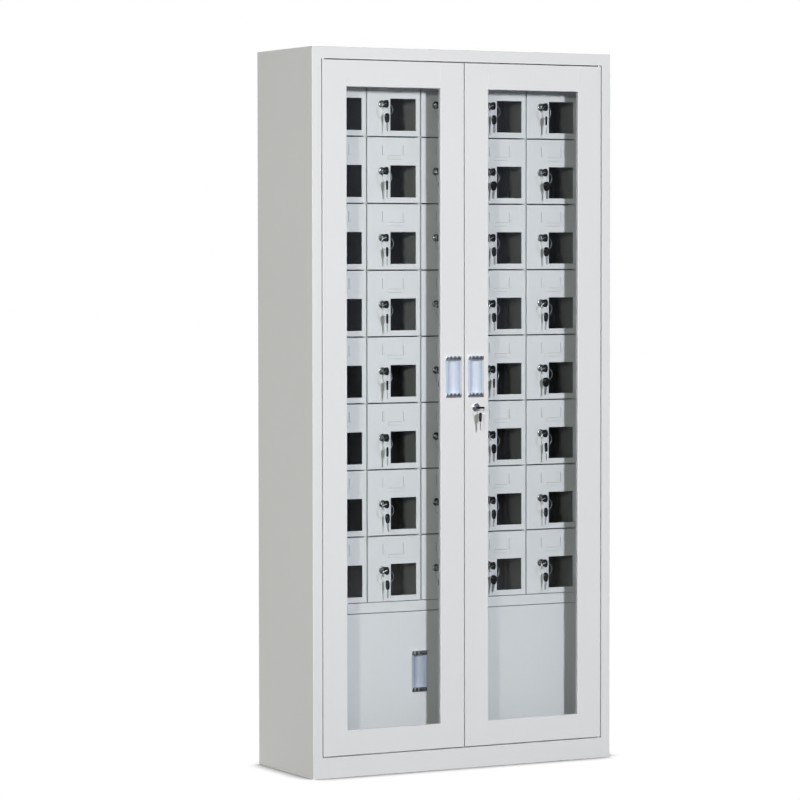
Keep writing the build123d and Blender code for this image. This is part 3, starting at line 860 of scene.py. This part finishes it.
def locker_front(row, column):
    """A small folded door with its window, its pane and the clips that hold its number card."""
    sheets, sizes = bpy.context.scene.cabinet_sheets, bpy.context.scene.cabinet_lockers
    name, body = f"locker_door_{row}_{column}", f"locker_{row}_{column}"
    x0, x1, _, _, z0, z1 = extents(name)
    outer, face, thick = (x0, x1, z0, z1), NEST_FACE, sheets.sheet
    window = (x0 + sizes.left, x1 - sizes.right, z0 + sizes.foot, z0 + sizes.foot + sizes.tall)
    rim = [(outer, -room, face + deep) for room, deep in quarter(sheets.fold)]
    lip = [(window, room, face + deep) for room, deep in quarter(sizes.punched, 2)]
    section = [(window, 0.0, face + thick), (outer, -thick, face + thick),
               (outer, -thick, face + sizes.pan), (outer, 0.0, face + sizes.pan),
               *rim, *lip[::-1]]
    shape, raised, pane, clips = Shape(), Shape(), Shape(), card_clips(x0, z1)
    shape.loft([rectangle(edges, deep, room) for edges, room, deep in section], joined=True)
    shape.piece(f"locker_front_{row}_{column}", body, ["inner coat"], "locker_paint", [name],
                [clip_hole(*clip) for clip in clips])
    for clip in clips:
        raised_clip(raised, *clip)
    raised.piece(f"card_clips_{row}_{column}", body, ["inner coat"], "locker_paint")
    pane.loft([rectangle(window, face + deep, sizes.lap) for deep in (thick, thick + sizes.pane)])
    pane.piece(f"locker_pane_{row}_{column}", body, ["smoked pane"], "clear_glass")


def hinge_tabs():
    """The painted tabs that carry the hinge rods between the rows of small doors."""
    sizes, shape = bpy.context.scene.cabinet_lockers, Shape()
    for column in range(1, COLUMNS + 1):
        for row in range(1, ROWS):
            _, x1, _, _, z0, _ = extents(f"locker_door_{row}_{column}")
            _, _, _, _, _, z1 = extents(f"locker_door_{row + 1}_{column}")
            half_gap = (z0 - z1) / 2  # the same between two columns as between two rows
            middle, end = z1 + half_gap, x1 + half_gap - sizes.tab_end
            shape.block(end - sizes.tab, end, NEST_FACE + CLEARANCE, NEST_FACE + sizes.pan,
                        middle - sizes.tab_thick / 2, middle + sizes.tab_thick / 2)
    shape.piece("hinge_tabs", "cabinet", ["inner coat"], "paint")


# Stage


def soft_box(name, azimuth, height, reach, size, brightness, tone):
    """A square lamp aimed at the cabinet, which lights a white sheet turned to it to a brightness."""
    target = point(0.0, 0.0, 0.9)
    turn, rise = math.radians(azimuth), math.radians(height)
    away = Vector((math.sin(turn) * math.cos(rise), -math.cos(turn) * math.cos(rise), math.sin(rise)))
    light = bpy.data.lights.new(name, "AREA")
    light.size, light.color = size, tone
    light.energy = brightness * math.pi ** 2 * reach ** 2
    lamp = bpy.data.objects.new(name, light)
    lamp.location = target + away * reach
    lamp.rotation_euler = away.to_track_quat("Z", "Y").to_euler()
    bpy.context.scene.collection.objects.link(lamp)


def camera_at_photo():
    """The camera where the photograph was taken."""
    yaw, pitch, roll, lens = 0.4847, 0.0411, -0.0011, 160.526
    eye = point(-4.30466, -7.82695, 1.294)
    ahead = Vector((math.sin(yaw) * math.cos(pitch), math.cos(yaw) * math.cos(pitch),
                    -math.sin(pitch)))
    right = Vector((math.cos(yaw), -math.sin(yaw), 0.0))
    above = right.cross(ahead)
    turned = right * math.cos(roll) + above * math.sin(roll)
    risen = above * math.cos(roll) - right * math.sin(roll)
    data = bpy.data.cameras.new("camera")
    data.sensor_width, data.lens = 36.0, lens
    camera = bpy.data.objects.new("camera", data)
    camera.matrix_world = placed(turned, risen, eye)
    bpy.context.scene.collection.objects.link(camera)
    bpy.context.scene.camera = camera


def studio_room():
    """White to the camera. It lights the cabinet dimly, most from above, the left and the front.

    Glass and plating mirror a brighter room.
    """
    values = bpy.context.scene.cabinet_studio
    brightest_way = (-0.55, -0.3, 0.78)
    world = bpy.data.worlds.new("room")
    bpy.context.scene.world = world
    nodes = Nodes(world)
    lift = nodes.along(nodes.coordinate("Generated"), brightest_way).at_least(0.0)
    mirrored = nodes.add("ShaderNodeLightPath", out="Is Glossy Ray")
    dim = nodes.add("ShaderNodeBackground", {}, {
        "Color": nodes.blend(mirrored, toned(ROOM_TONE), toned(MIRRORED_TONE)),
        "Strength": values.room + lift * values.ceiling
        + mirrored * (values.mirrored + lift * values.mirrored_top)})
    white = nodes.add("ShaderNodeBackground", {}, {"Color": toned(WHITE)})
    seen = nodes.add("ShaderNodeLightPath", out="Is Camera Ray")
    nodes.end(nodes.either(seen, dim, white), "ShaderNodeOutputWorld")


def studio():
    """Floor, room and lamps."""
    values = bpy.context.scene.cabinet_studio
    shape, half, under = Shape(), 30.0, -0.0002
    shape.mesh.faces.new([shape.mesh.verts.new(Vector((x * half, y * half, under)))
                          for x, y in ((-1, -1), (1, -1), (1, 1), (-1, 1))])
    ground = bpy.data.objects.new("floor", shape.data("floor", ["floor"]))
    bpy.context.scene.collection.objects.link(ground)
    studio_room()
    for name, (azimuth, height, reach, size, setting, tone) in LAMPS.items():
        soft_box(name, azimuth, height, reach, size, getattr(values, setting), tone)
    view = bpy.context.scene.view_settings
    view.view_transform, view.look = "Standard", "None"


# Operators


class SetStage(Operator):
    """Set up the floor, the lights and the camera"""

    bl_idname = "cabinet.set_stage"
    bl_label = "Stage"

    def execute(self, context):
        camera_at_photo()
        studio()
        return {"FINISHED"}


class MakeCarcass(Operator):
    """Paint the carcass and the sheets inside it"""

    bl_idname = "cabinet.make_carcass"
    bl_label = "Carcass"

    def execute(self, context):
        for node in ("side_panels", "top_panel", "base_panel"):
            dress(node, "coat")
        dress("nest_frame", "inner coat")
        dress("locker_partitions", "cell coat with painted deep shade")
        # The back panel's side towards the cells and all of the shelves carry the painted cell shade.
        dress("back_panel", "back coat")
        dress("locker_shelves", "painted_cell_shade")
        dress("hinge_pins", "dull plating")
        return {"FINISHED"}


class MakeGlazedDoors(Operator):
    """Build the two glazed doors"""

    bl_idname = "cabinet.make_glazed_doors"
    bl_label = "Glazed doors"

    def execute(self, context):
        glazed_door(-1, "left")
        glazed_door(1, "right")
        return {"FINISHED"}


class MakeCupboardDoors(Operator):
    """Build the two doors of the low cupboard"""

    bl_idname = "cabinet.make_cupboard_doors"
    bl_label = "Cupboard doors"

    def execute(self, context):
        cupboard_door(-1, "left")
        cupboard_door(1, "right")
        return {"FINISHED"}


class MakePulls(Operator):
    """Build the four recessed pulls"""

    bl_idname = "cabinet.make_pulls"
    bl_label = "Pulls"

    def execute(self, context):
        for word in ("left", "right"):
            recessed_pull(f"door_pull_{word}", f"{word}_door", f"pull_{word}", "pull hollow")
            recessed_pull(f"cupboard_pull_{word}", f"cupboard_{word}", f"low_pull_{word}",
                          "low pull hollow with painted shade")
        return {"FINISHED"}


class MakeDoorLock(Operator):
    """Build the lock of the glazed doors with its keys"""

    bl_idname = "cabinet.make_door_lock"
    bl_label = "Door lock"

    def execute(self, context):
        door_lock()
        return {"FINISHED"}


class MakeLockerDoors(Operator):
    """Build the small locker doors, their panes and their hinge tabs"""

    bl_idname = "cabinet.make_locker_doors"
    bl_label = "Locker doors"

    def execute(self, context):
        for row in range(1, ROWS + 1):
            for column in range(1, COLUMNS + 1):
                locker_front(row, column)
        hinge_tabs()
        return {"FINISHED"}


class MakeLockerLocks(Operator):
    """Build the locker locks with their keys and rings"""

    bl_idname = "cabinet.make_locker_locks"
    bl_label = "Locker locks"

    def execute(self, context):
        for row in range(1, ROWS + 1):
            for column in range(1, COLUMNS + 1):
                locker_lock(row, column)
        return {"FINISHED"}


class CabinetPanel(Panel):
    """Lists what the cabinet is made of"""

    bl_idname = "VIEW3D_PT_cabinet"
    bl_label = "Phone locker cabinet"
    bl_space_type = "VIEW_3D"
    bl_region_type = "UI"
    bl_category = "Cabinet"

    def draw(self, context):
        column = self.layout.column()
        for group in GROUPS:
            values = getattr(context.scene, group)
            for name in values.bl_rna.properties.keys():
                if name not in ("rna_type", "name"):
                    column.prop(values, name)
        for operator in OPERATORS:
            column.operator(operator.bl_idname)


GROUPS = {
    "cabinet_finishes": CabinetFinishes,
    "cabinet_sheets": SheetSizes,
    "cabinet_lockers": LockerSizes,
    "cabinet_hardware": HardwareSizes,
    "cabinet_studio": StudioLight,
}
OPERATORS = (SetStage, MakeCarcass, MakeGlazedDoors, MakeCupboardDoors, MakePulls, MakeDoorLock,
             MakeLockerDoors, MakeLockerLocks)


def register():
    for made in (*GROUPS.values(), *OPERATORS, CabinetPanel):
        bpy.utils.register_class(made)
    for name, group in GROUPS.items():
        setattr(bpy.types.Scene, name, PointerProperty(type=group))


def unregister():
    for name in GROUPS:
        delattr(bpy.types.Scene, name)
    for made in (CabinetPanel, *OPERATORS[::-1], *list(GROUPS.values())[::-1]):
        bpy.utils.unregister_class(made)


def main():
    register()
    for operator in OPERATORS:
        group, name = operator.bl_idname.split(".")
        getattr(getattr(bpy.ops, group), name)()


if __name__ == "__main__":
    main()
